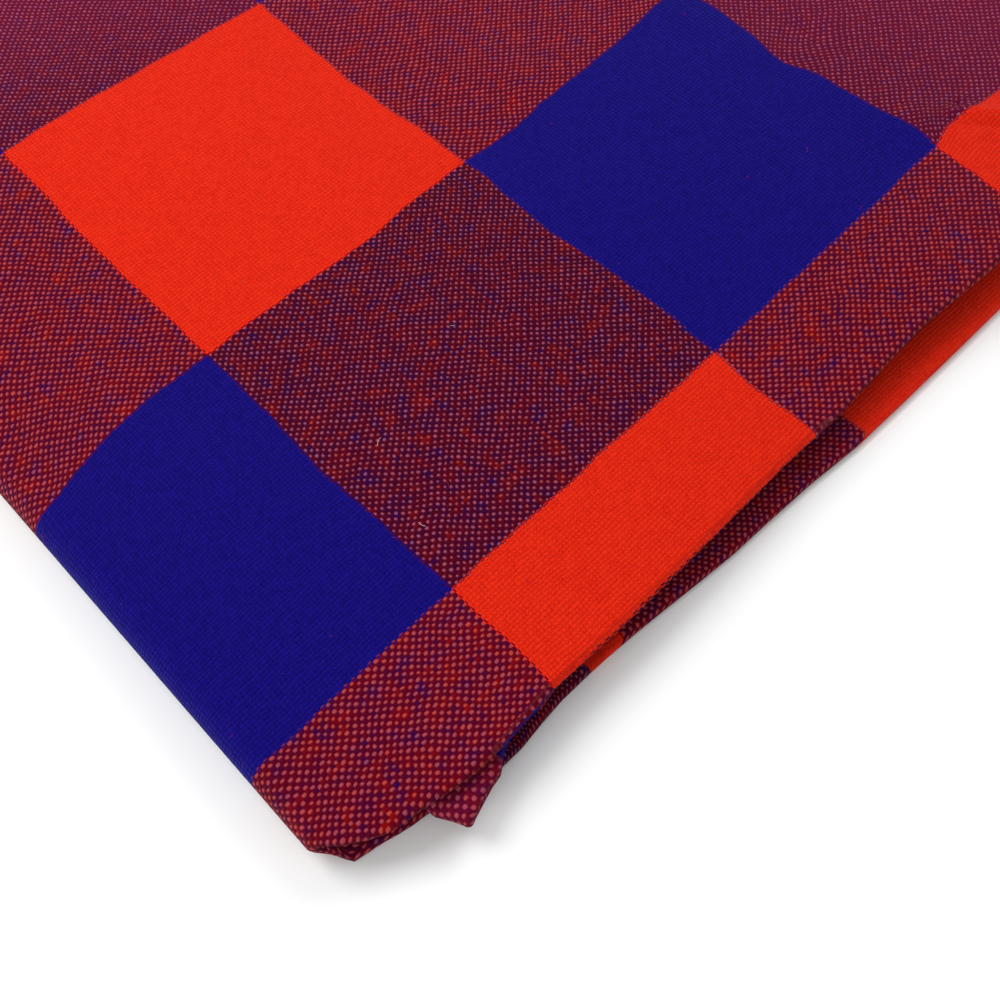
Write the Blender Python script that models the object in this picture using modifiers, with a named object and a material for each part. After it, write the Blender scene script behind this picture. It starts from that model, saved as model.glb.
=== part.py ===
# Maasai shuka blanket, one woven sheet, folded back and forth in four and then once in half.
# Metres, +Z up. The wrap-over fold runs along the -X side, and the stacked folds face -Y.
# Inside this script a place is given as along (from the wrap-over fold, towards +X)
# and across (from the line of the front folds, towards +Y).

import math

import bpy

# Driving sizes of the cloth
CHECK = 0.076
CHECKS_WIDE = 20
CHECKS_LONG = 26
THICKNESS = 0.0010
LAYER_PITCH = 0.0016
PLIES = 4

# Sizes that follow from the driving sizes
CLOTH_WIDTH = CHECK * CHECKS_WIDE
CLOTH_LENGTH = CHECK * CHECKS_LONG
PANEL = CLOTH_LENGTH / PLIES
OUTER_TURN = PLIES - 0.5
OUTER_RADIUS = OUTER_TURN * LAYER_PITCH
HALF_WIDTH = (CLOTH_WIDTH - math.pi * OUTER_RADIUS) / 2 + OUTER_RADIUS + THICKNESS / 2

# Grid of the sheet: steps round a wrap-over, round a layer fold, and across a panel
WRAP_STEPS = 8
HAIRPIN_STEPS = 6
ACROSS_STATIONS = (0.0, 0.012, 0.03, 0.09, 0.18, 0.30, 0.44, 0.62, 0.82, 1.0)
ALONG_STATIONS = (0.0, 0.010, 0.018, 0.028, 0.040, 0.054, 0.072, 0.094, 0.116, 0.138,
                  0.165, 0.200, 0.245, 0.300, 0.360, 0.430, 0.510, 0.590, 0.680, 0.760)

# How far the front folds stand out past their common line, along the pack
EDGE_COLUMNS = ("along", "top", "middle", "bottom")
EDGE_ROWS = (
    (0.000, -0.0115, -0.0070, -0.0100),
    (0.004, -0.0075, -0.0040, -0.0070),
    (0.010, -0.0042, 0.0000, -0.0038),
    (0.019, -0.0022, 0.0050, -0.0026),
    (0.027, 0.0000, 0.0044, -0.0002),
    (0.037, 0.0003, 0.0018, 0.0014),
    (0.051, -0.0006, -0.0006, 0.0006),
    (0.067, 0.0000, -0.0030, 0.0009),
    (0.099, -0.0002, -0.0036, 0.0037),
    (0.117, -0.0004, -0.0032, 0.0043),
    (0.133, 0.0000, -0.0028, 0.0059),
    (0.161, -0.0007, -0.0036, 0.0066),
    (0.191, 0.0012, -0.0038, 0.0070),
    (0.300, -0.0010, -0.0020, 0.0050),
    (0.480, 0.0010, -0.0014, 0.0018),
    (0.620, -0.0012, 0.0010, 0.0030),
    (0.800, 0.0006, -0.0010, 0.0006),
)

# Soft swells and hollows of the pack: middle, reach each way, and rise of the top face
SWELL_COLUMNS = ("along", "across", "reach_along", "reach_across", "rise")
SWELL_ROWS = (
    (0.040, 0.205, 0.050, 0.060, 0.0028),
    (0.122, 0.145, 0.060, 0.070, -0.0015),
    (0.050, 0.104, 0.036, 0.036, -0.0014),
    (0.215, 0.045, 0.050, 0.050, 0.0021),
    (0.125, 0.028, 0.030, 0.030, -0.0007),
    (0.000, 0.000, 0.024, 0.024, -0.0024),
    (0.135, 0.000, 0.035, 0.014, -0.0013),
    (0.340, 0.250, 0.110, 0.110, 0.0012),
    (0.480, 0.100, 0.130, 0.100, -0.0009),
    (0.610, 0.360, 0.120, 0.120, 0.0012),
    (0.300, 0.440, 0.130, 0.090, -0.0009),
    (0.740, 0.200, 0.090, 0.150, -0.0008),
)

# The two inner plies turn back this much further in at the front corner, and their tip leans
INNER_STEP_IN = 0.0168
INNER_STEP_REACH = 0.110
INNER_TIP_LEAN = 0.0030
INNER_TIP_REACH = 0.0040

# Free ends at +X: how far each layer stands out, from the top layer down
END_OFFSETS = (0.0, 0.0035, 0.0015, 0.0060, 0.0070, 0.0030, 0.0050, -0.0020)
END_SKEW = 0.0040
# Far side at +Y: waviness of its fold, and how far the two cut edges stop short of it
FAR_WAVE = 0.0016
FAR_WAVE_LENGTH = 0.290
FAR_EDGE_SHORT = 0.0022

# The underside is levelled where it lies this close to the surface
FLAT_WITHIN = 0.00001

# Finish of the cloth
CLOTH_COLOUR = (0.42, 0.02, 0.05, 1.0)
CLOTH_ROUGHNESS = 0.9


def clear_scene():
    for item in list(bpy.data.objects):
        bpy.data.objects.remove(item, do_unlink=True)


def blend(start, end, share):
    return start + (end - start) * share


def smooth_step(share):
    share = min(max(share, 0.0), 1.0)
    return share * share * (3.0 - 2.0 * share)


def front_reach(column, along):
    # Straight-line reading of one column of the edge table
    index = EDGE_COLUMNS.index(column)
    for low, high in zip(EDGE_ROWS, EDGE_ROWS[1:]):
        if along <= high[0]:
            share = max((along - low[0]) / (high[0] - low[0]), 0.0)
            return blend(low[index], high[index], share)
    return EDGE_ROWS[-1][index]


def pitch_at(along, across):
    # Distance from one layer to the next; the bottom layer stays flat, the top one rises and falls
    rise = 0.0
    for row in SWELL_ROWS:
        swell = dict(zip(SWELL_COLUMNS, row))
        off_along = (along - swell["along"]) / swell["reach_along"]
        off_across = (across - swell["across"]) / swell["reach_across"]
        rise += swell["rise"] * math.exp(-off_along ** 2 - off_across ** 2)
    return LAYER_PITCH + rise / (2 * PLIES - 1)


def step_in(ply_place, across):
    # Plies 3 and 4 turn back further in, most of all at the front corner
    share = smooth_step(ply_place - 2.0)
    step = INNER_STEP_IN * math.exp(-(max(across, 0.0) / INNER_STEP_REACH) ** 2)
    lean = INNER_TIP_LEAN * math.exp(-(max(across, 0.0) / INNER_TIP_REACH) ** 2)
    return share * (step + lean)


def fold_turn(ply_place):
    # Turn number of the front fold that a ply runs into: between plies 1 and 2, or 3 and 4
    return PLIES - 1.0 if ply_place < 2.5 else PLIES - 3.0


def front_line(ply_place, along, under):
    # Across place of the front fold that a ply runs into; under is 0 in the top half, 1 below
    if ply_place > 2.5:
        return -front_reach("middle", along)
    return -blend(front_reach("top", along), front_reach("bottom", along), under)


def far_line(ply_place, along, under):
    # Across place of the far fold, which joins plies 2 and 3, or of the cut edge of plies 1 and 4
    wave = FAR_WAVE * math.sin(2 * math.pi * along / FAR_WAVE_LENGTH + 2.0 * under)
    if 1.5 < ply_place < 3.5:
        return PANEL + wave
    return PANEL - FAR_EDGE_SHORT - wave


def section_stations():
    # Stations along the back-and-forth section: place among the plies, share of the panel
    # from the front to the far side, and the angle in a fold (0 on a panel)
    stations = []
    for ply in range(1, PLIES + 1):
        shares = ACROSS_STATIONS if ply % 2 == 0 else tuple(reversed(ACROSS_STATIONS))
        for share in shares:
            stations.append((float(ply), share, 0.0))
        if ply == PLIES:
            break
        fold_share = shares[-1]
        for step in range(1, HAIRPIN_STEPS):
            angle = math.pi * step / HAIRPIN_STEPS
            place = ply + (1.0 - math.cos(angle)) / 2
            stations.append((place, fold_share, angle))
    return stations


def wrap_stations():
    # Stations along the width: half (top or bottom), share of the half, and the wrap angle
    first, last = ALONG_STATIONS[0], ALONG_STATIONS[-1]
    shares = [(station - first) / (last - first) for station in ALONG_STATIONS]
    stations = [(0.0, share, 0.0) for share in reversed(shares)]
    for step in range(1, WRAP_STEPS):
        stations.append((0.5, 0.0, math.pi * step / WRAP_STEPS))
    stations += [(1.0, share, math.pi) for share in shares]
    return stations


def end_along(ply_place, half, across):
    # Along place of the free end of a layer
    layer = ply_place - 1.0 if half < 0.5 else 2 * PLIES - ply_place
    low = min(int(layer), 2 * PLIES - 2)
    offset = blend(END_OFFSETS[low], END_OFFSETS[low + 1], layer - low)
    return HALF_WIDTH + offset + END_SKEW * (across / PANEL - 0.5)


def fold_point(section, wrap):
    ply_place, panel_share, fold_angle = section
    half, half_share, wrap_angle = wrap
    turn = PLIES - ply_place + 0.5
    under = (1.0 - math.cos(wrap_angle)) / 2
    nominal = panel_share * PANEL

    # The centre of the wrap-over, then the place along the half
    pitch = pitch_at(0.0, nominal)
    centre = THICKNESS / 2 + OUTER_TURN * pitch + step_in(ply_place, nominal)
    if half == 0.5:
        along = centre - turn * pitch * math.sin(wrap_angle)
        fold_along = centre - fold_turn(ply_place) * pitch * math.sin(wrap_angle)
    else:
        along = blend(centre, end_along(ply_place, half, nominal), half_share)
        fold_along = along

    # The place across, between the front fold and the far side, with the fold's own bulge
    front = front_line(ply_place, fold_along, under) + THICKNESS / 2 + LAYER_PITCH / 2
    far = far_line(ply_place, fold_along, under) - THICKNESS / 2 - LAYER_PITCH / 2
    bulge = LAYER_PITCH / 2 * math.sin(fold_angle)
    across = blend(front, far, panel_share) + (bulge if panel_share > 0.5 else -bulge)

    # The height, from the layer's place in the pack
    pitch = pitch_at(along, across)
    height = THICKNESS / 2 + OUTER_TURN * pitch + turn * pitch * math.cos(wrap_angle)
    return along, across, height


def cloth_material():
    material = bpy.data.materials.new("woven_acrylic_check")
    material.use_nodes = True
    shader = material.node_tree.nodes["Principled BSDF"]
    shader.inputs["Base Color"].default_value = CLOTH_COLOUR
    shader.inputs["Roughness"].default_value = CLOTH_ROUGHNESS
    shader.inputs["Metallic"].default_value = 0.0
    return material


def folded_sheet(name):
    # A flat grid of the cut size, whose points are then moved to their places in the folds
    sections = section_stations()
    wraps = wrap_stations()
    bpy.ops.mesh.primitive_grid_add(x_subdivisions=len(wraps) - 1, y_subdivisions=len(sections) - 1,
                                    size=1.0)
    sheet = bpy.context.object
    sheet.name = name
    sheet.data.name = name
    for vertex in sheet.data.vertices:
        column = round((vertex.co.x + 0.5) * (len(wraps) - 1))
        row = round((vertex.co.y + 0.5) * (len(sections) - 1))
        vertex.co = fold_point(sections[row], wraps[column])
    return sheet


def stand_on_centre(sheet):
    # The origin goes to the middle of the pack's outline; the cloth's underside stays at Z = 0
    for axis in (0, 1):
        places = [vertex.co[axis] for vertex in sheet.data.vertices]
        middle = (min(places) + max(places)) / 2
        for vertex in sheet.data.vertices:
            vertex.co[axis] -= middle


def lay_flat(sheet):
    # The bottom layer rests on its whole face, so its underside is one level
    for vertex in sheet.data.vertices:
        if abs(vertex.co.z) < FLAT_WITHIN:
            vertex.co.z = 0.0


def build_blanket():
    collection = bpy.data.collections.new("maasai_shuka_blanket")
    bpy.context.scene.collection.children.link(collection)
    sheet = folded_sheet("folded_blanket")
    stand_on_centre(sheet)
    for owner in list(sheet.users_collection):
        owner.objects.unlink(sheet)
    collection.objects.link(sheet)
    sheet.data.materials.append(cloth_material())
    thick = sheet.modifiers.new("cloth_thickness", "SOLIDIFY")
    thick.thickness = THICKNESS
    thick.offset = 0.0
    thick.use_even_offset = True
    bpy.ops.object.modifier_apply(modifier=thick.name)
    lay_flat(sheet)
    sheet.data.shade_smooth()


clear_scene()
build_blanket()
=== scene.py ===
# Folded shuka blanket, looks.
# One woven sheet on the folds of its solid, with a weave that is drawn thread by thread.

import math
import random

import bpy
from mathutils import Matrix, Vector


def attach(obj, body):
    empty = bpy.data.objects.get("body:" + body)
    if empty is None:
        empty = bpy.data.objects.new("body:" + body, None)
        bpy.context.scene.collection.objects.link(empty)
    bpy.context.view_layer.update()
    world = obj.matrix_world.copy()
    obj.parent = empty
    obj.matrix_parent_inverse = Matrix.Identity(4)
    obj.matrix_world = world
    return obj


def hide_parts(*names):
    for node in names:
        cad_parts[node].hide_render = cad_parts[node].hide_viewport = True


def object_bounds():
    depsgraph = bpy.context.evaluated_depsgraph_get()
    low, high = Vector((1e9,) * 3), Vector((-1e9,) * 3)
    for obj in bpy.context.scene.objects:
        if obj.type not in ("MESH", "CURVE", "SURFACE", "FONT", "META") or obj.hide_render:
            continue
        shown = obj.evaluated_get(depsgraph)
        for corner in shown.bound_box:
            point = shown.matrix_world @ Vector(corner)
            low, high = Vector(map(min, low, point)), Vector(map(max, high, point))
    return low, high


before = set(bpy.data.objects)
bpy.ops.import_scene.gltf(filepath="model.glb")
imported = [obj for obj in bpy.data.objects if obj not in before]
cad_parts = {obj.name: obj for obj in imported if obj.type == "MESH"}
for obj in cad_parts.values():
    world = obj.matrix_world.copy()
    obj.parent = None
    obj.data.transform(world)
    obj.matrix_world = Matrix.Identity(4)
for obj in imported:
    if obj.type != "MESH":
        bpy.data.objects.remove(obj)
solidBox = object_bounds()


def mm(size):
    return size / 1000.0


def blend(start, end, share):
    return start + (end - start) * share


def smoothStep(share):
    share = min(max(share, 0.0), 1.0)
    return share * share * (3.0 - 2.0 * share)


def hexColour(text):
    # sRGB hex to the linear values that the shader takes
    def toLinear(part):
        value = int(part, 16) / 255.0
        return value / 12.92 if value <= 0.04045 else ((value + 0.055) / 1.055) ** 2.4
    text = text.lstrip("#")
    return tuple(toLinear(text[n:n + 2]) for n in (0, 2, 4)) + (1.0,)


def deselectAll():
    if bpy.context.object and bpy.context.object.mode != "OBJECT":
        bpy.ops.object.mode_set(mode="OBJECT")
    bpy.ops.object.select_all(action="DESELECT")


# The cloth. Sizes are in millimetres; a place is along (from the wrap-over fold) and across
# (from the line of the front folds), as on the solid.
cloth = {
    "check": 76.0,
    "width": 1520.0,
    "length": 1976.0,
    "thick": 1.0,
    "pitch": 1.6,
    "plies": 4,
    "checkStart": 49.9,        # along place of a warp stripe's edge on the top face
    "topFoldAt": 179.4,        # cloth's length from a weft stripe's edge to the top front fold
    "frontMost": 6.82,         # how far the lowest front fold stands out at most
    "innerStepIn": 16.8,
    "innerStepReach": 110.0,
    "innerTipLean": 3.0,
    "innerTipReach": 4.0,
    "endOffsets": (0.0, 3.5, 1.5, 6.0, 7.0, 3.0, 5.0, -2.0),
    "endSkew": 4.0,
    "farWave": 1.6,
    "farWaveLength": 290.0,
    "farWaveShift": 2.0,       # radians between the top half's wave and the bottom half's
    "farEdgeShort": 2.2,
    "creaseFade": 4.0,         # creases fade out this near to the front fold
    "swellEnds": 12.0,         # a swell, or a drag, is nothing past this reach, squared
    "dragEnds": 9.0,
    "foldDragFade": 1.5,       # a fold's drag is gone where this times the panel's share is 1
    "lowerDragFade": 4.0,
}

# The sheet's grid. A spacing is a fine step, a coarse step, and how far the fine ones reach.
grid = {
    "topPanel": (2.6, 20.0, 208.0),
    "hiddenPanel": (3.0, 34.0, 6.0),
    "topHalf": (2.5, 20.0, 226.0),
    "bottomHalf": (6.0, 34.0, 50.0),
    "widening": 0.12,
    "closePanel": (15.0, 34.0, 1.3),       # from, until, and half a step: closer at the sharp crease
    "closeHalf": (198.0, 216.0, 1.25),
    "dragPair": 0.15,                      # a pair of places, this far to both sides of a drag's end
    "wrapSteps": 16,
    "hairpinSteps": 8,
}

# How far the front folds stand out past their common line
edgeColumns = ("along", "top", "middle", "bottom")
edgeRows = (
    (0.0, -12.0, -7.0, -12.0),
    (3.0, -9.4, -5.0, -8.8),
    (5.0, -7.4, -3.6, -5.3),
    (8.0, -5.5, -1.6, -5.0),
    (12.0, -3.3, 1.2, -3.8),
    (16.0, -2.4, 4.6, -2.8),
    (20.0, -1.8, 6.7, -2.2),
    (25.0, -0.6, 4.7, -0.8),
    (29.0, 0.0, 3.3, 0.2),
    (33.0, 0.2, 2.6, 1.0),
    (37.0, 0.3, -0.2, 1.5),
    (42.0, 0.0, -1.2, 1.0),
    (46.0, -0.4, -0.7, 0.6),
    (51.0, -0.6, -1.8, 0.2),
    (67.0, 0.0, -3.0, 0.7),
    (99.0, -0.2, -3.6, 3.7),
    (117.0, -0.4, -3.2, 4.3),
    (133.0, 0.0, -2.8, 5.9),
    (161.0, -0.7, -3.6, 6.6),
    (191.0, 1.2, -3.8, 7.0),
    (300.0, -1.0, -2.0, 5.0),
    (480.0, 1.0, -1.4, 1.8),
    (620.0, -1.2, 1.0, 3.0),
    (800.0, 0.6, -1.0, 0.6),
)

# Swells and hollows that the whole pack has
swellColumns = ("along", "across", "reachAlong", "reachAcross", "rise")
swellRows = (
    (40.0, 205.0, 50.0, 60.0, 2.8),
    (122.0, 145.0, 60.0, 70.0, -1.5),
    (50.0, 104.0, 36.0, 36.0, -1.4),
    (215.0, 45.0, 50.0, 50.0, 2.1),
    (125.0, 28.0, 30.0, 30.0, -0.7),
    (0.0, 0.0, 24.0, 24.0, -2.4),
    (135.0, 0.0, 35.0, 14.0, -1.3),
    (340.0, 250.0, 110.0, 110.0, 1.2),
    (480.0, 100.0, 130.0, 100.0, -0.9),
    (610.0, 360.0, 120.0, 120.0, 1.2),
    (300.0, 440.0, 130.0, 90.0, -0.9),
    (740.0, 200.0, 90.0, 150.0, -0.8),
)

# Cloth that has slipped on the underside, read along the pack: the stripes there meet the
# front fold this far on
slipColumns = ("along", "slip")
slipRows = ((0.0, 0.0), (21.0, 0.0), (55.0, 32.8), (67.0, 32.8), (130.0, 40.0), (900.0, 40.0))

# Places where a fold's cloth has been dragged the weft way, from one place along the pack to
# another: the front fold of the inner plies at the corner, the lip of the top front fold, and
# the bottom front fold
innerDrag = {"from": -1.0, "until": 34.5, "weft": -38.0}
lipDrag = {"from": 34.5, "until": 128.4, "weft": 49.0}
lowerDrag = {"from": 20.7, "until": 60.5, "weft": -32.0}


def isDragged(drag, along):
    return drag["from"] < along < drag["until"]


def readRows(rows, columns, name, place):
    # A smooth curve through one column of a table
    index = columns.index(name)
    last = len(rows) - 1
    for step in range(last):
        low, high = rows[step], rows[step + 1]
        if place <= high[0] or step == last - 1:
            share = min(max((place - low[0]) / (high[0] - low[0]), 0.0), 1.0)
            span = high[0] - low[0]
            before = rows[max(step - 1, 0)]
            after = rows[min(step + 2, last)]
            slopeLow = (high[index] - before[index]) / (high[0] - before[0]) * span
            slopeHigh = (after[index] - low[index]) / (after[0] - low[0]) * span
            cubed = 2.0 * low[index] - 2.0 * high[index] + slopeLow + slopeHigh
            squared = 3.0 * high[index] - 3.0 * low[index] - 2.0 * slopeLow - slopeHigh
            return ((cubed * share + squared) * share + slopeLow) * share + low[index]
    return rows[-1][index]


def reachSquared(row, along, across):
    # How far a place is from the middle of a swell or a drag, in its own reaches
    offAlong = (along - row["along"]) / row["reachAlong"]
    offAcross = (across - row["across"]) / row["reachAcross"]
    return offAlong * offAlong + offAcross * offAcross


def pitchAt(along, across):
    # From layer to layer, where the swells and hollows are shared out among the layers
    rise = 0.0
    for row in swellRows:
        swell = dict(zip(swellColumns, row))
        reach = reachSquared(swell, along, across)
        if reach < cloth["swellEnds"]:
            rise += swell["rise"] * math.exp(-reach)
    return cloth["pitch"] + rise / (2 * cloth["plies"] - 1)


def stepIn(plyPlace, across):
    # Plies are counted from the top layer, 1, and a place between two numbers is on their fold.
    # The inner plies, past 2, are stepped in from the wrap-over fold.
    share = smoothStep(plyPlace - 2.0)
    inward = max(across, 0.0)
    step = cloth["innerStepIn"] * math.exp(-(inward / cloth["innerStepReach"]) ** 2)
    lean = cloth["innerTipLean"] * math.exp(-(inward / cloth["innerTipReach"]) ** 2)
    return share * (step + lean)


def frontLine(plyPlace, along, under):
    # The front folds: the middle one joins plies 3 and 2, the others run from top to bottom
    if plyPlace > 2.5:
        return -readRows(edgeRows, edgeColumns, "middle", along)
    top = readRows(edgeRows, edgeColumns, "top", along)
    bottom = readRows(edgeRows, edgeColumns, "bottom", along)
    return -blend(top, bottom, under)


def farLine(plyPlace, along, under):
    panel = cloth["length"] / cloth["plies"]
    angle = 2 * math.pi * along / cloth["farWaveLength"] + cloth["farWaveShift"] * under
    wave = cloth["farWave"] * math.sin(angle)
    if 1.5 < plyPlace < 3.5:
        return panel + wave
    return panel - cloth["farEdgeShort"] - wave


def spaced(start, end, fine, coarse, fineReach):
    # Places from start to end, a fine step apart up to fineReach and then widening
    places = [start]
    while places[-1] < end:
        beyond = max(places[-1] - fineReach, 0.0)
        places.append(places[-1] + min(coarse, fine + beyond * grid["widening"]))
    stretch = (end - start) / (places[-1] - start)
    return [start + (place - start) * stretch for place in places]


def closer(places, start, end, halfStep):
    # Places with one more after each between start and end
    return sorted(places + [place + halfStep for place in places if start < place < end])


def sectionStations():
    # Along the back-and-forth section: place among the plies, share of the panel, fold angle
    panel = cloth["length"] / cloth["plies"]
    topPlaces = closer(spaced(0.0, panel, *grid["topPanel"]), *grid["closePanel"])
    topShares = [place / panel for place in topPlaces]
    hiddenShares = [place / panel for place in spaced(0.0, panel, *grid["hiddenPanel"])]
    stations = []
    for ply in range(1, cloth["plies"] + 1):
        shares = topShares if ply == 1 else hiddenShares
        for share in (shares if ply % 2 == 0 else reversed(shares)):
            stations.append((float(ply), share, 0.0))
        if ply == cloth["plies"]:
            break
        for step in range(1, grid["hairpinSteps"]):
            angle = math.pi * step / grid["hairpinSteps"]
            stations.append((ply + (1.0 - math.cos(angle)) / 2, float(ply % 2 == 0), angle))
    return stations


def wrapStations():
    # Along the width: half (0 top, 0.5 wrap-over fold, 1 bottom), share of the half, wrap angle
    long = cloth["width"] / 2
    topPlaces = closer(spaced(0.0, long, *grid["topHalf"]), *grid["closeHalf"])
    bottomPlaces = spaced(0.0, long, *grid["bottomHalf"])
    # A pair of close places at each spot where a drag starts or ends
    start = cloth["thick"] / 2 + (cloth["plies"] - 0.5) * cloth["pitch"]
    innerStart = start + cloth["innerStepIn"] + cloth["innerTipLean"]
    for places, drag in ((topPlaces, lipDrag), (bottomPlaces, lowerDrag)):
        for spot in (drag["from"] - start, drag["until"] - start, innerDrag["until"] - innerStart):
            places += [spot - grid["dragPair"], spot + grid["dragPair"]]
    topShares = [place / long for place in sorted(topPlaces)]
    bottomShares = [place / long for place in sorted(bottomPlaces)]
    stations = [(0.0, share, 0.0) for share in reversed(topShares)]
    for step in range(1, grid["wrapSteps"]):
        stations.append((0.5, 0.0, math.pi * step / grid["wrapSteps"]))
    stations += [(1.0, share, math.pi) for share in bottomShares]
    return stations


def endAlong(plyPlace, half, across):
    # Where a layer ends at the far end. Layers are counted from top to bottom, from 0.
    plies = cloth["plies"]
    outerRadius = (plies - 0.5) * cloth["pitch"]
    halfWidth = (cloth["width"] - math.pi * outerRadius) / 2 + outerRadius + cloth["thick"] / 2
    layer = plyPlace - 1.0 if half < 0.5 else 2 * plies - plyPlace
    low = min(int(layer), 2 * plies - 2)
    offset = blend(cloth["endOffsets"][low], cloth["endOffsets"][low + 1], layer - low)
    panel = cloth["length"] / plies
    return halfWidth + offset + cloth["endSkew"] * (across / panel - 0.5)


def foldPoint(section, wrap):
    # The place of a point of the flat cloth in the folded pack, and its place on the cloth
    plyPlace, panelShare, foldAngle = section
    half, halfShare, wrapAngle = wrap
    plies = cloth["plies"]
    panel = cloth["length"] / plies
    outerTurn = plies - 0.5
    turn = plies - plyPlace + 0.5
    foldTurn = plies - 1.0 if plyPlace < 2.5 else plies - 3.0
    under = (1.0 - math.cos(wrapAngle)) / 2
    nominal = panelShare * panel

    wrapPitch = pitchAt(0.0, nominal)
    centre = cloth["thick"] / 2 + outerTurn * wrapPitch + stepIn(plyPlace, nominal)
    if half == 0.5:
        along = centre - turn * wrapPitch * math.sin(wrapAngle)
        foldAlong = centre - foldTurn * wrapPitch * math.sin(wrapAngle)
    else:
        along = blend(centre, endAlong(plyPlace, half, nominal), halfShare)
        foldAlong = along

    inset = cloth["thick"] / 2 + cloth["pitch"] / 2
    front = frontLine(plyPlace, foldAlong, under) + inset
    far = farLine(plyPlace, foldAlong, under) - inset
    bulge = cloth["pitch"] / 2 * math.sin(foldAngle)
    across = blend(front, far, panelShare) + (bulge if panelShare > 0.5 else -bulge)

    pitch = pitchAt(along, across)
    height = cloth["thick"] / 2 + outerTurn * pitch + turn * pitch * math.cos(wrapAngle)
    if plyPlace == 1.0 and half == 0.0:
        height += creaseRise(along, across) * smoothStep((across - front) / cloth["creaseFade"])
    if half == 0.0 and plyPlace <= 2.0:
        height -= rollDrop(along, across, front)

    # Warp way: from the stripe's edge on the top face, round the wrap, and back underneath
    topStart = centre - cloth["checkStart"]
    if half == 0.0:
        warpWay = along - cloth["checkStart"]
    elif half == 0.5:
        warpWay = topStart - turn * wrapPitch * wrapAngle
    else:
        slip = readRows(slipRows, slipColumns, "slip", along)
        warpWay = topStart - turn * wrapPitch * math.pi - (along - centre) - slip

    # Weft way: from the top front fold, back and forth through the plies
    foldArc = math.pi * cloth["pitch"] / 2
    ply = min(int(plyPlace), plies)
    run = panel - 2 * inset
    start = cloth["topFoldAt"] - inset
    if ply == 1 and foldAngle == 0.0:
        weftWay = cloth["topFoldAt"] - across + dragAt(along, across, "weft")
        if half == 0.0:
            warpWay += dragAt(along, across, "warp")
    else:
        done = start + (ply - 2) * run + (ply - 1) * foldArc
        if foldAngle > 0.0:
            weftWay = done + run + foldAngle / math.pi * foldArc
        else:
            weftWay = done + (panelShare if ply % 2 == 0 else 1.0 - panelShare) * run
        nearFold = max(1.0 - panelShare * cloth["foldDragFade"], 0.0)
        weftWay += (inset - front) * nearFold
        if plyPlace > 2.5 and isDragged(innerDrag, along):
            weftWay += innerDrag["weft"] * nearFold * smoothStep(plyPlace - 2.0)
        if plyPlace < 2.5 and half == 0.0 and isDragged(lipDrag, along):
            weftWay += lipDrag["weft"] * nearFold
    if plyPlace < 2.5 and half == 1.0 and isDragged(lowerDrag, along):
        weftWay += lowerDrag["weft"] * max(1.0 - panelShare * cloth["lowerDragFade"], 0.0)
    return (along, across, height), (warpWay, weftWay)


# Creases on the top face: from one end to the other, half width, and rise (or fall) at the middle
creaseColumns = ("alongA", "acrossA", "alongB", "acrossB", "halfWidth", "rise")
creaseRows = (
    (212.0, 28.2, 218.0, 20.6, 1.0, -1.0),    # the dark line in the red check at the right
    (214.0, 29.8, 220.0, 22.2, 2.4, 1.3),     # the sharp ridge behind it
    (214.6, 31.6, 217.0, 31.2, 1.3, -1.25),   # the dimple above it
    (206.0, 34.0, 224.0, 20.0, 8.0, 0.8),     # the pucker that they are in
    (196.0, 100.0, 205.0, 36.0, 8.0, 0.5),
    (150.0, 118.0, 196.0, 70.0, 14.0, 0.4),
    (108.0, 3.0, 131.0, 2.5, 3.0, 0.5),       # the soft ridge by the front fold
    (60.0, 150.0, 150.0, 196.0, 16.0, 0.35),
    (12.0, 120.0, 70.0, 160.0, 14.0, -0.3),
)
# A crease runs past both of its ends by this share of its length and fades there, and is
# nothing this many half widths away
creaseEnd = {"past": 0.4, "fade": 0.5, "halfWidths": 3.0}

# The cloth is dragged in its own plane, so the check's lines bend
dragColumns = ("along", "across", "reachAlong", "reachAcross", "warp", "weft")
dragRows = (
    (0.0, 104.0, 19.0, 45.0, 0.0, -8.0),
    (92.0, 104.0, 14.0, 16.0, 0.0, -1.3),
    (138.0, 103.0, 9.0, 14.0, 0.0, -1.3),
    (198.0, 105.0, 14.0, 16.0, 0.0, 2.2),
    (80.0, 181.0, 34.0, 20.0, 0.0, 1.6),
    (211.0, 29.0, 6.0, 6.0, 0.0, 1.6),
    (50.0, 10.0, 12.0, 8.0, -0.5, 0.0),
    (50.0, 64.0, 12.0, 12.0, 1.0, 0.0),
    (50.0, 142.0, 12.0, 20.0, 0.7, 0.0),
    (126.0, 16.0, 14.0, 12.0, 0.9, 0.0),
    (126.0, 76.0, 14.0, 16.0, 1.5, 0.0),
    (126.0, 144.0, 16.0, 30.0, 1.9, 0.0),
    (203.0, 70.0, 14.0, 8.0, 3.2, 0.0),
    (203.0, 35.0, 10.0, 8.0, -1.2, 0.0),
    (203.0, 96.0, 10.0, 9.0, -1.2, 0.0),
)


def dragAt(along, across, way):
    total = 0.0
    for row in dragRows:
        drag = dict(zip(dragColumns, row))
        reach = reachSquared(drag, along, across)
        if drag[way] and reach < cloth["dragEnds"]:
            total += drag[way] * math.exp(-reach)
    return total


# The two top layers roll down at their front fold, where nothing holds them up from below
edgeRoll = {"drop": 0.5, "reach": 7.0, "from": 46.0, "full": 80.0}


def rollDrop(along, across, front):
    share = smoothStep((along - edgeRoll["from"]) / (edgeRoll["full"] - edgeRoll["from"]))
    return edgeRoll["drop"] * share * math.exp(-((across - front) / edgeRoll["reach"]) ** 2)


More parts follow.
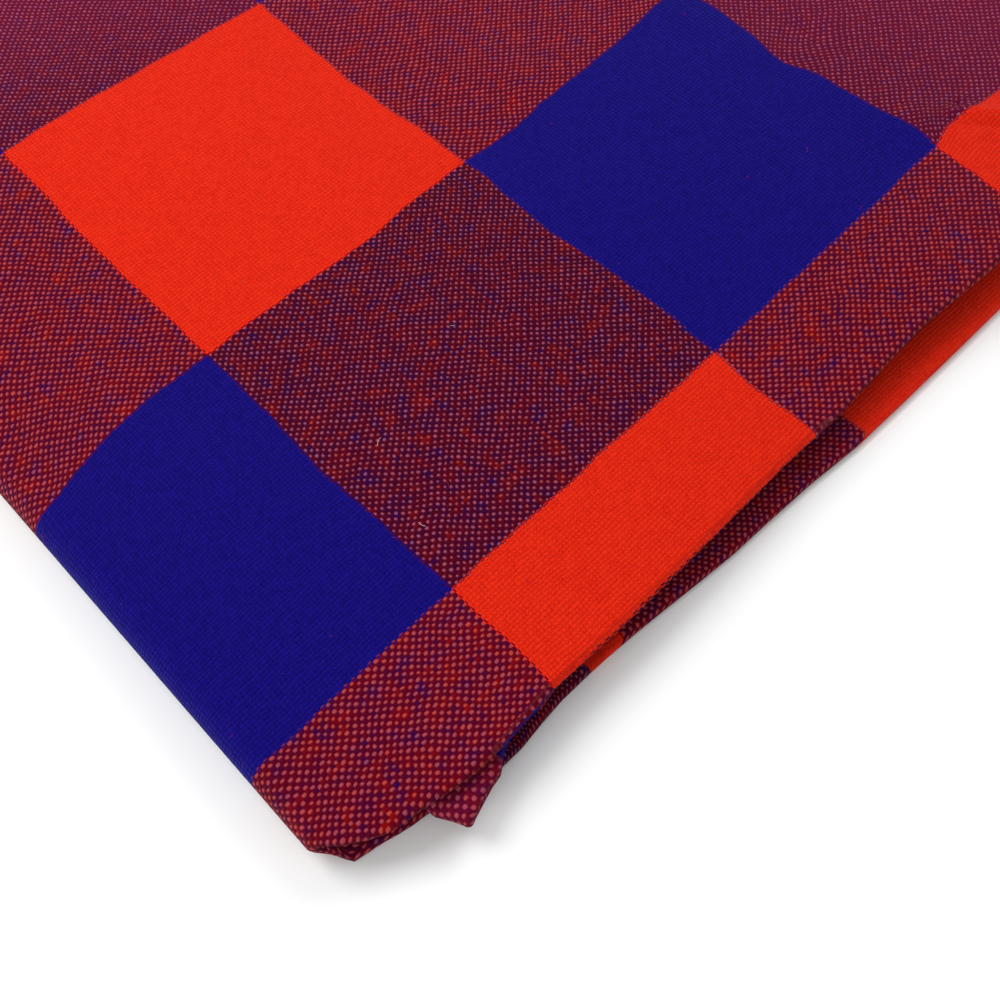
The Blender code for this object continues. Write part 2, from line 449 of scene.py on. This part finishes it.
def creaseRise(along, across):
    total = 0.0
    for row in creaseRows:
        crease = dict(zip(creaseColumns, row))
        wayAlong = crease["alongB"] - crease["alongA"]
        wayAcross = crease["acrossB"] - crease["acrossA"]
        length = math.hypot(wayAlong, wayAcross)
        offAlong = along - crease["alongA"]
        offAcross = across - crease["acrossA"]
        share = (offAlong * wayAlong + offAcross * wayAcross) / length ** 2
        side = abs(offAlong * wayAcross - offAcross * wayAlong) / length
        toEnd = min(share, 1.0 - share) + creaseEnd["past"]
        if toEnd > 0.0 and side < creaseEnd["halfWidths"] * crease["halfWidth"]:
            ends = smoothStep(toEnd / creaseEnd["fade"])
            total += crease["rise"] * ends * math.exp(-(side / crease["halfWidth"]) ** 2)
    return total


def makeFoldedSheet(name):
    # A flat grid, its points moved to their places in the folds, then given its thickness
    sections = sectionStations()
    wraps = wrapStations()
    deselectAll()
    bpy.ops.mesh.primitive_grid_add(x_subdivisions=len(wraps) - 1, y_subdivisions=len(sections) - 1,
                                    size=1.0)
    sheet = bpy.context.object
    sheet.name = name
    sheet.data.name = name
    low = solidBox[0]
    clothPlaces = []
    for vertex in sheet.data.vertices:
        column = round((vertex.co.x + 0.5) * (len(wraps) - 1))
        row = round((vertex.co.y + 0.5) * (len(sections) - 1))
        place, clothPlace = foldPoint(sections[row], wraps[column])
        vertex.co = (low.x + mm(place[0]), low.y + mm(cloth["frontMost"] + place[1]), mm(place[2]))
        clothPlaces.append((mm(clothPlace[0]), mm(clothPlace[1])))
    layer = sheet.data.uv_layers.active
    layer.name = "clothPlace"
    for loop in sheet.data.loops:
        layer.data[loop.index].uv = clothPlaces[loop.vertex_index]
    thick = sheet.modifiers.new("thickness", "SOLIDIFY")
    thick.thickness = mm(cloth["thick"])
    thick.offset = 0.0
    thick.use_even_offset = True
    bpy.ops.object.modifier_apply(modifier=thick.name)
    bpy.ops.object.shade_smooth()
    return sheet


# Loose fibres of the spun yarn, which lie on the face and stand off the folds. Each takes the
# colour of the thread it comes out of. The bits of lint lie where they are seen. A fibre's bend
# gives share of the length, share sideways, and share of the lift.
fuzz = {
    "count": 260,
    "seed": 5,
    "length": (0.5, 1.7),
    "radius": 0.016,
    "lift": 0.16,
    "heading": (0.0, 360.0),
    "roundFold": (0.2, 1.5),       # radians round a fold, for those that stand off one
    "reachAlong": 0.36,            # shares of the top face that they reach over
    "reachAcross": 0.55,
}
lint = {"radius": 0.03, "lift": 0.10, "colour": "#e8dcdc", "roughness": 0.9, "specular": 0.1}
fibreBend = ((0.0, 0.0, -0.1), (0.35, 0.10, 0.8), (0.7, 0.06, 1.0), (1.0, -0.06, 0.5))
lintColumns = ("along", "across", "length", "heading")
lintRows = ((60.6, 59.8, 2.0, 35.0), (55.3, 39.3, 1.6, 110.0), (92.0, 70.5, 1.1, 150.0))


def facePlace(share, halfShare, foldAngle=0.0, wrapAngle=0.0):
    # A point on the outer face of the top layer, the way it faces, and its place on the cloth
    section = (1.0 + (1.0 - math.cos(foldAngle)) / 2, share, foldAngle)
    half = 0.0 if wrapAngle == 0.0 else 0.5
    middle, clothPlace = foldPoint(section, (half, halfShare, wrapAngle))
    upward = math.cos(foldAngle) * math.cos(wrapAngle)
    facing = Vector((-math.sin(wrapAngle), -math.sin(foldAngle), upward)).normalized()
    place = Vector((middle[0], cloth["frontMost"] + middle[1], middle[2])) + facing * cloth["thick"] / 2
    return place, facing, clothPlace


def makeFibres(name, settings, roots):
    # Each fibre is a short bent line with a round section, made into a mesh at the end
    deselectAll()
    bpy.ops.curve.primitive_bezier_curve_add(location=(0.0, 0.0, 0.0))
    fibres = bpy.context.object
    fibres.name = name
    fibres.data.name = name
    fibres.data.splines.clear()
    low = Vector((solidBox[0].x, solidBox[0].y, 0.0))
    for place, facing, length, heading, clothPlace in roots:
        turn = math.radians(heading)
        way = Vector((math.cos(turn), math.sin(turn), 0.0))
        way = (way - facing * way.dot(facing)).normalized()
        side = facing.cross(way)
        line = fibres.data.splines.new("POLY")
        line.points.add(len(fibreBend) - 1)
        for point, (share, off, rise) in zip(line.points, fibreBend):
            spot = place + way * length * share + side * length * off + facing * settings["lift"] * rise
            point.co = (*(low + mm(spot)), 1.0)
    fibres.data.bevel_depth = mm(settings["radius"])
    fibres.data.bevel_resolution = 0
    fibres.data.use_fill_caps = True
    bpy.ops.object.convert(target="MESH")
    fibres = bpy.context.object
    layer = fibres.data.uv_layers.new(name="clothPlace")
    each = len(fibres.data.loops) // len(roots)
    for loop in fibres.data.loops:
        clothPlace = roots[min(loop.index // each, len(roots) - 1)][4]
        layer.data[loop.index].uv = (mm(clothPlace[0]), mm(clothPlace[1]))
    bpy.ops.object.shade_smooth()
    return fibres


def fuzzRoots():
    picker = random.Random(fuzz["seed"])
    roots = []
    for number in range(fuzz["count"]):
        share = picker.uniform(0.0, fuzz["reachAcross"])
        halfShare = picker.uniform(0.0, fuzz["reachAlong"])
        angle = picker.uniform(*fuzz["roundFold"])
        # one in four stands off the front fold, and one in four off the wrap-over fold
        if number % 4 == 0:
            place, facing, clothPlace = facePlace(0.0, halfShare, foldAngle=angle)
        elif number % 4 == 1:
            place, facing, clothPlace = facePlace(share, 0.0, wrapAngle=angle)
        else:
            place, facing, clothPlace = facePlace(share, halfShare)
        length = picker.uniform(*fuzz["length"])
        heading = picker.uniform(*fuzz["heading"])
        roots.append((place, facing, length, heading, clothPlace))
    return roots


def lintRoots():
    # The top face is nearly level here, so the shares of its length and width will do
    panel = cloth["length"] / cloth["plies"]
    roots = []
    for row in lintRows:
        bit = dict(zip(lintColumns, row))
        centre = cloth["thick"] / 2 + (cloth["plies"] - 0.5) * pitchAt(0.0, bit["across"])
        halfShare = (bit["along"] - centre) / (endAlong(1.0, 0.0, bit["across"]) - centre)
        place, facing, clothPlace = facePlace(bit["across"] / panel, halfShare)
        roots.append((place, facing, bit["length"], bit["heading"], clothPlace))
    return roots


# Plain weave of spun acrylic, two-colour check. Spun yarn gives the eye a matt, slightly hairy
# face of small round floats; where the two colours cross, each float stands as its own dot.
weave = {
    "warpPerCheck": 80.0,          # threads to a check, so 0.95 and 0.86 mm from one to the next
    "weftPerCheck": 88.0,
    "edgeLap": 0.6,                # threads, from a float that laps over a stripe's edge to the next
    # how quickly the threads wander, and how far, in threads
    "slowScale": 90.0,
    "slowWander": 1.3,
    "quickScale": 620.0,
    "quickWander": 0.4,
    # tones: steps in the pattern along a thread and to the next one, and a shift for the weft's
    "slubAlong": 0.13,
    "slubAcross": 0.83,
    "slubShift": 91.0,
    "patchScale": 260.0,
    "fibreScale": 2.6,
    "fibreRoughness": 0.6,
    # a float: radians from thread to thread, across it and along it, and what its height is
    # mixed from
    "roundAcross": 2.9,
    "roundAlong": 2.5,
    "floatRise": 0.75,
    "floatVaries": 0.35,
    "fibreRise": 0.35,
    # one-colour checks go from the deep colour, also the painted shade between floats, to the full one, also
    # the painted highlight on their tops
    "red": "#d62710",
    "redDeepAndGapShade": "#b41106",
    "blue": "#140b70",
    "blueDeepAndGapShade": "#06024e",
    # one-colour checks: what their tone is mixed from, and where it goes from deep to full; the float's
    # height in it is painted shade between the floats and a painted highlight on their tops
    "floatShadeAndHighlight": 0.45,
    "toneFibres": 1.5,
    "toneSpot": 0.35,
    "toneFrom": 0.475,
    "toneFull": 1.475,
    # mixed checks, from where the blue thread shows most to where the red does: the floats, their red partly
    # lifted by a painted whitish sheen, and between them the blue thread's colour darkened as painted shade,
    # over a red warp and over a blue one
    "redWarpSheenDots": ((0.0, "#744468"), (0.35, "#8e465e"), (0.65, "#984452"), (1.0, "#a8422c")),
    "redWarpShadedGaps": ((0.0, "#26003e"), (0.35, "#3a0020"), (0.65, "#4c0016"), (1.0, "#6e0606")),
    "blueWarpSheenDots": ((0.0, "#743a5e"), (0.35, "#9c3e4a"), (0.65, "#a63e3e"), (1.0, "#b63c2a")),
    "blueWarpShadedGaps": ((0.0, "#2a003e"), (0.35, "#4c0020"), (0.65, "#5c0016"), (1.0, "#800606")),
    # what their runs of tone are mixed from
    "runSlub": 0.65,
    "runPatch": 0.75,
    "runSpot": 0.15,
    # height of a float where its dot begins, and how much higher it is full. Over a blue warp
    # it begins lower, so the dots are larger.
    "dotFrom": 0.23,
    "dotLower": 0.14,
    "dotVaries": 0.22,
    "dotSoft": 0.7,
    "dotCover": 0.62,              # how fully a dot covers, and what its fibres add
    "dotFibres": 0.70,
    # well away from the folds the nap is fuller: dots spread, and the painted shade between them is lighter.
    # The distances are metres from the front corner.
    "napSheenDots": "#a84a68",
    "napShadedGaps": "#660a30",
    "napFrom": 0.15,
    "napFull": 0.27,
    "napMost": 0.85,
    "napLess": 0.45,               # taken off that over a blue warp
    "napOnSheenDots": 0.6,
    "roughness": 0.85,
    "sheen": 0.04,
    "sheenRoughness": 0.4,
    "specular": 0.03,
    "bumpHeight": 0.4,
    "bumpStrength": 0.6,
}


def addNode(tree, kind, inputs=(), **settings):
    # One node, its own settings, and what goes into its sockets, in order or by name: a value,
    # a socket, or another node, whose first output is taken. On a Mix node the share is socket
    # 0, numbers are 2 and 3, colours are 6 and 7, and the mixed colour comes out of 2.
    node = tree.nodes.new("ShaderNode" + kind)
    for name, value in settings.items():
        setattr(node, name, value)
    byName = inputs if isinstance(inputs, dict) else dict(enumerate(inputs))
    for name, value in byName.items():
        source = value.outputs[0] if isinstance(value, bpy.types.Node) else value
        if isinstance(source, bpy.types.NodeSocket):
            tree.links.new(source, node.inputs[name])
        else:
            node.inputs[name].default_value = source
    return node


def makeWeaveMaterial():
    material = bpy.data.materials.new("plain woven spun acrylic check")
    material.use_nodes = True
    tree = material.node_tree
    shader = tree.nodes["Principled BSDF"]
    uvPlace = addNode(tree, "UVMap", uv_map="clothPlace")
    uvParts = addNode(tree, "SeparateXYZ", (uvPlace,))

    # Threads wander, slowly and also from float to float, so the rows are not ruled
    wanders = []
    for pace in ("slow", "quick"):
        links = {"Vector": uvPlace, "Scale": weave[pace + "Scale"], "Detail": 1.0}
        drift = addNode(tree, "TexNoise", links, noise_dimensions="2D")
        drift = addNode(tree, "SeparateColor", (drift.outputs["Color"],))
        wanders.append((drift, weave[pace + "Wander"]))
    middle = sum(reach for drift, reach in wanders) / 2
    places = []
    for way, perCheck in enumerate(("warpPerCheck", "weftPerCheck")):
        pitch = mm(cloth["check"] / weave[perCheck])
        place = addNode(tree, "Math", (uvParts.outputs[way], pitch), operation="DIVIDE")
        for drift, reach in wanders:
            place = addNode(tree, "Math", (drift.outputs[way], reach, place), operation="MULTIPLY_ADD")
        places.append(addNode(tree, "Math", (place, middle), operation="SUBTRACT"))
    warpPlace, weftPlace = places

    # Which threads cross here, how far off their middles, and whether the weft is on top
    numbers = []
    offs = []
    for place in places:
        numbers.append(addNode(tree, "Math", (place,), operation="FLOOR"))
        share = addNode(tree, "Math", (place,), operation="FRACT")
        offs.append(addNode(tree, "Math", (share, 0.5), operation="SUBTRACT"))
    warpNumber, weftNumber = numbers
    warpOff, weftOff = offs
    crossing = addNode(tree, "Math", (warpNumber, weftNumber), operation="ADD")
    weftOnTop = addNode(tree, "Math", (crossing, 2.0), operation="FLOORED_MODULO")

    # 0 in a red stripe and 1 in a blue one, each way. Every other float at a stripe's edge
    # laps over it a little, so the edge is finely toothed.
    halfLap = weave["edgeLap"] / 2
    lap = addNode(tree, "Math", (weftOnTop, weave["edgeLap"], -halfLap), operation="MULTIPLY_ADD")
    blues = []
    for place, perCheck in ((warpPlace, "warpPerCheck"), (weftPlace, "weftPerCheck")):
        lapped = addNode(tree, "Math", (place, lap), operation="ADD")
        checks = addNode(tree, "Math", (lapped, weave[perCheck]), operation="DIVIDE")
        stripe = addNode(tree, "Math", (checks,), operation="FLOOR")
        blues.append(addNode(tree, "Math", (stripe, 2.0), operation="FLOORED_MODULO"))
    warpBlue, weftBlue = blues
    unlike = addNode(tree, "Math", (warpBlue, weftBlue), operation="SUBTRACT")
    mixed = addNode(tree, "Math", (unlike,), operation="ABSOLUTE")

    # Of the thread on top: whether it is blue, and how far sideways and lengthways on its float
    onTop = []
    for warp, weft in ((warpBlue, weftBlue), (warpOff, weftOff), (weftOff, warpOff)):
        onTop.append(addNode(tree, "Mix", {0: weftOnTop, 2: warp, 3: weft}, data_type="FLOAT"))
    topBlue, sideways, lengthways = onTop

    # Each thread changes tone along its own length, each float has a tone of its own, patches
    # of the cloth have theirs, and the fibres on a float are finer than all of these
    along, across = weave["slubAlong"], weave["slubAcross"]
    slubs = []
    for threads, steps, shift in (((warpNumber, weftPlace), (across, along, 0.0), 0.0),
                                  ((warpPlace, weftNumber), (along, across, 0.0), weave["slubShift"])):
        spread = addNode(tree, "CombineXYZ", threads)
        spread = addNode(tree, "VectorMath", (spread, steps, (shift, 0.0, 0.0)), operation="MULTIPLY_ADD")
        links = {"Vector": spread, "Scale": 1.0, "Detail": 1.0}
        slubs.append(addNode(tree, "TexNoise", links, noise_dimensions="2D"))
    ownFloat = addNode(tree, "CombineXYZ", numbers)
    spot = addNode(tree, "TexWhiteNoise", {"Vector": ownFloat}, noise_dimensions="2D")
    links = {"Vector": uvPlace, "Scale": weave["patchScale"], "Detail": 2.0}
    patches = addNode(tree, "TexNoise", links, noise_dimensions="2D")
    threadPlace = addNode(tree, "CombineXYZ", places)
    links = {"Vector": threadPlace, "Scale": weave["fibreScale"], "Detail": 2.0,
             "Roughness": weave["fibreRoughness"]}
    fibres = addNode(tree, "TexNoise", links, noise_dimensions="2D")

    # A float is round across its thread, longer along it, and dives at both ends
    rounds = []
    for off, radians in ((sideways, weave["roundAcross"]), (lengthways, weave["roundAlong"])):
        angle = addNode(tree, "Math", (off, radians), operation="MULTIPLY")
        rounds.append(addNode(tree, "Math", (angle,), operation="COSINE"))
    dome = addNode(tree, "Math", rounds, operation="MULTIPLY")
    swell = addNode(tree, "Math", (spot, weave["floatVaries"], weave["floatRise"]), operation="MULTIPLY_ADD")
    height = addNode(tree, "Math", (dome, swell), operation="MULTIPLY")
    height = addNode(tree, "Math", (fibres, weave["fibreRise"], height), operation="MULTIPLY_ADD")

    # One-colour checks: an even face, with painted shade as small dark pinholes here and there between the
    # floats, and a painted highlight on their tops
    tone = 0.0
    for part, strength in ((dome, "floatShadeAndHighlight"), (fibres, "toneFibres"), (spot, "toneSpot")):
        tone = addNode(tree, "Math", (part, weave[strength], tone), operation="MULTIPLY_ADD")
    toneRange = {"Value": tone, "From Min": weave["toneFrom"], "From Max": weave["toneFull"]}
    tone = addNode(tree, "MapRange", toneRange, interpolation_type="SMOOTHSTEP")
    faces = []
    for deep, full in (("redDeepAndGapShade", "red"), ("blueDeepAndGapShade", "blue")):
        shade = addNode(tree, "Mix", {0: tone, 6: hexColour(weave[deep]), 7: hexColour(weave[full])},
                        data_type="RGBA")
        faces.append(shade.outputs[2])
    pureFace = addNode(tree, "Mix", {0: warpBlue, 6: faces[0], 7: faces[1]}, data_type="RGBA")

    # Two-colour checks: red floats as dots, their colour partly a painted whitish sheen. Their tone and the
    # painted shade between them go together, from violet to scarlet, in short runs along the threads.
    runParts = ((slubs[0], "runSlub"), (slubs[1], "runSlub"), (patches, "runPatch"), (spot, "runSpot"))
    runs = 0.5 - sum(weave[strength] for part, strength in runParts) / 2
    for part, strength in runParts:
        runs = addNode(tree, "Math", (part, weave[strength], runs), operation="MULTIPLY_ADD")
    begin = addNode(tree, "Math", (warpBlue, -weave["dotLower"], weave["dotFrom"]), operation="MULTIPLY_ADD")
    begin = addNode(tree, "Math", (spot, weave["dotVaries"], begin), operation="MULTIPLY_ADD")
    full = addNode(tree, "Math", (begin, weave["dotSoft"]), operation="ADD")
    dotRange = {"Value": dome, "From Min": begin, "From Max": full}
    redDot = addNode(tree, "MapRange", dotRange, interpolation_type="SMOOTHSTEP")
    topRed = addNode(tree, "Math", (1.0, topBlue), operation="SUBTRACT")
    redDot = addNode(tree, "Math", (redDot, topRed), operation="MULTIPLY")
    hairy = addNode(tree, "Math", (fibres, weave["dotFibres"], weave["dotCover"]), operation="MULTIPLY_ADD")
    redDot = addNode(tree, "Math", (redDot, hairy), operation="MULTIPLY")

    # The nap fills in with the distance from the front corner, and less over a blue warp
    corner = (mm(-cloth["checkStart"]), mm(cloth["topFoldAt"]), 0.0)
    away = addNode(tree, "VectorMath", (uvPlace, corner), operation="DISTANCE")
    napRange = {"Value": away.outputs["Value"], "From Min": weave["napFrom"], "From Max": weave["napFull"]}
    nap = addNode(tree, "MapRange", napRange, interpolation_type="SMOOTHSTEP")
    most = addNode(tree, "Math", (warpBlue, -weave["napLess"], weave["napMost"]), operation="MULTIPLY_ADD")
    nap = addNode(tree, "Math", (nap, most), operation="MULTIPLY")
    dotNap = addNode(tree, "Math", (nap, weave["napOnSheenDots"]), operation="MULTIPLY")
    # The dots' colours carry a painted sheen, and the colours between them carry painted shade
    shades = []
    for part, share in (("SheenDots", dotNap), ("ShadedGaps", nap)):
        tones = []
        for warp in ("redWarp", "blueWarp"):
            stops = weave[warp + part]
            ramp = addNode(tree, "ValToRGB", (runs,))
            for place, colour in stops[1:-1]:
                ramp.color_ramp.elements.new(place)
            for element, (place, colour) in zip(ramp.color_ramp.elements, stops):
                element.position = place
                element.color = hexColour(colour)
            tones.append(ramp)
        shade = addNode(tree, "Mix", {0: warpBlue, 6: tones[0], 7: tones[1]}, data_type="RGBA")
        shade = addNode(tree, "Mix", {0: share, 6: shade.outputs[2], 7: hexColour(weave["nap" + part])},
                        data_type="RGBA")
        shades.append(shade.outputs[2])
    sheenDots, shadedGaps = shades
    mixedFace = addNode(tree, "Mix", {0: redDot, 6: shadedGaps, 7: sheenDots}, data_type="RGBA")

    face = addNode(tree, "Mix", {0: mixed, 6: pureFace.outputs[2], 7: mixedFace.outputs[2]}, data_type="RGBA")
    bump = addNode(tree, "Bump", {"Strength": weave["bumpStrength"], "Distance": mm(weave["bumpHeight"]),
                                  "Height": height})
    tree.links.new(face.outputs[2], shader.inputs["Base Color"])
    tree.links.new(bump.outputs[0], shader.inputs["Normal"])
    shader.inputs["Metallic"].default_value = 0.0
    shader.inputs["Roughness"].default_value = weave["roughness"]
    shader.inputs["Specular IOR Level"].default_value = weave["specular"]
    shader.inputs["Sheen Weight"].default_value = weave["sheen"]
    shader.inputs["Sheen Roughness"].default_value = weave["sheenRoughness"]
    return material


def makeLintMaterial():
    # Cotton lint gives the eye dull pale specks, with no gloss
    material = bpy.data.materials.new("loose white cotton lint")
    material.use_nodes = True
    shader = material.node_tree.nodes["Principled BSDF"]
    shader.inputs["Base Color"].default_value = hexColour(lint["colour"])
    shader.inputs["Roughness"].default_value = lint["roughness"]
    shader.inputs["Specular IOR Level"].default_value = lint["specular"]
    return material


# Floor, lights and camera. The lights' places are metres from the origin, and the camera's is
# from the front corner of the cloth.
stage = {
    "floorSize": 12.0,
    "floorColour": "#eeeeee",
    "floorRoughness": 0.9,
    "floorSpecular": 0.1,
    "skyStrength": 0.61,
    "skyColour": "#ffffff",
    "keyPower": 3.8,
    "keySize": 0.45,
    "keyFrom": (-0.46, 0.26, 0.62),
    "sidePower": 8.0,
    "sideSize": 0.8,
    "sideFrom": (0.95, 0.15, 1.10),
    "leftPower": 2.3,
    "leftSize": 0.5,
    "leftFrom": (-1.10, -0.22, 0.25),
    "aim": (0.12, 0.1, 0.0),       # the lights face this place, from the corner of the solid's box
}
view = {
    "azimuth": -42.139,
    "elevation": 63.822,
    "roll": -2.562,
    "pixelFocal": 1061.45,
    "frameWidth": 1000.0,
    "sensor": 36.0,
    "fromCorner": (7.98, -33.58, 198.41),   # mm
    "clipStart": 0.005,
}


def makeFloor():
    deselectAll()
    bpy.ops.mesh.primitive_plane_add(size=stage["floorSize"], location=(0.0, 0.0, 0.0))
    floor = bpy.context.object
    floor.name = "floor"
    # Painted board gives the eye a dull even white that takes the cloth's soft shadow
    material = bpy.data.materials.new("matt painted board")
    material.use_nodes = True
    shader = material.node_tree.nodes["Principled BSDF"]
    shader.inputs["Base Color"].default_value = hexColour(stage["floorColour"])
    shader.inputs["Roughness"].default_value = stage["floorRoughness"]
    shader.inputs["Specular IOR Level"].default_value = stage["floorSpecular"]
    floor.data.materials.append(material)


def makeLight(name):
    deselectAll()
    place = Vector(stage[name + "From"])
    bpy.ops.object.light_add(type="AREA", location=place)
    light = bpy.context.object
    light.name = name
    light.data.shape = "DISK"
    light.data.size = stage[name + "Size"]
    light.data.energy = stage[name + "Power"]
    aim = Vector((solidBox[0].x, solidBox[0].y, 0.0)) + Vector(stage["aim"])
    light.rotation_euler = (aim - place).to_track_quat("-Z", "Y").to_euler()


def makeSky():
    world = bpy.data.worlds.new("soft room light")
    bpy.context.scene.world = world
    world.use_nodes = True
    background = world.node_tree.nodes["Background"]
    background.inputs[0].default_value = hexColour(stage["skyColour"])
    background.inputs[1].default_value = stage["skyStrength"]


def makeCamera():
    azimuth = math.radians(view["azimuth"])
    elevation = math.radians(view["elevation"])
    roll = math.radians(view["roll"])
    back = Vector((math.sin(azimuth) * math.cos(elevation),
                   -math.cos(azimuth) * math.cos(elevation), math.sin(elevation)))
    level = Vector((0.0, 0.0, 1.0)).cross(back).normalized()
    upright = back.cross(level)
    right = math.cos(roll) * level + math.sin(roll) * upright
    up = -math.sin(roll) * level + math.cos(roll) * upright
    deselectAll()
    bpy.ops.object.camera_add()
    camera = bpy.context.object
    corner = Vector((solidBox[0].x, solidBox[0].y + mm(cloth["frontMost"]), 0.0))
    turn = Matrix((right, up, back)).transposed().to_4x4()
    turn.translation = corner + Vector([mm(part) for part in view["fromCorner"]])
    camera.matrix_world = turn
    camera.data.sensor_width = view["sensor"]
    camera.data.lens = view["sensor"] * view["pixelFocal"] / view["frameWidth"]
    camera.data.clip_start = view["clipStart"]
    bpy.context.scene.camera = camera


blanket = makeFoldedSheet("folded_shuka_cloth")
weaveMaterial = makeWeaveMaterial()
blanket.data.materials.append(weaveMaterial)
print("cloth:", len(blanket.data.polygons), "faces")

yarnFuzz = makeFibres("yarn_fuzz", fuzz, fuzzRoots())
yarnFuzz.data.materials.append(weaveMaterial)
looseLint = makeFibres("loose_lint", lint, lintRoots())
looseLint.data.materials.append(makeLintMaterial())
for piece in (yarnFuzz, looseLint):
    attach(piece, "root")
print("fibres:", len(yarnFuzz.data.polygons) + len(looseLint.data.polygons), "faces")

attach(blanket, "root")
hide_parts("folded_blanket")

makeFloor()
for lightName in ("key", "side", "left"):
    makeLight(lightName)
makeSky()
makeCamera()
bpy.context.scene.view_settings.view_transform = "Standard"
print("stage: floor, lights, camera")
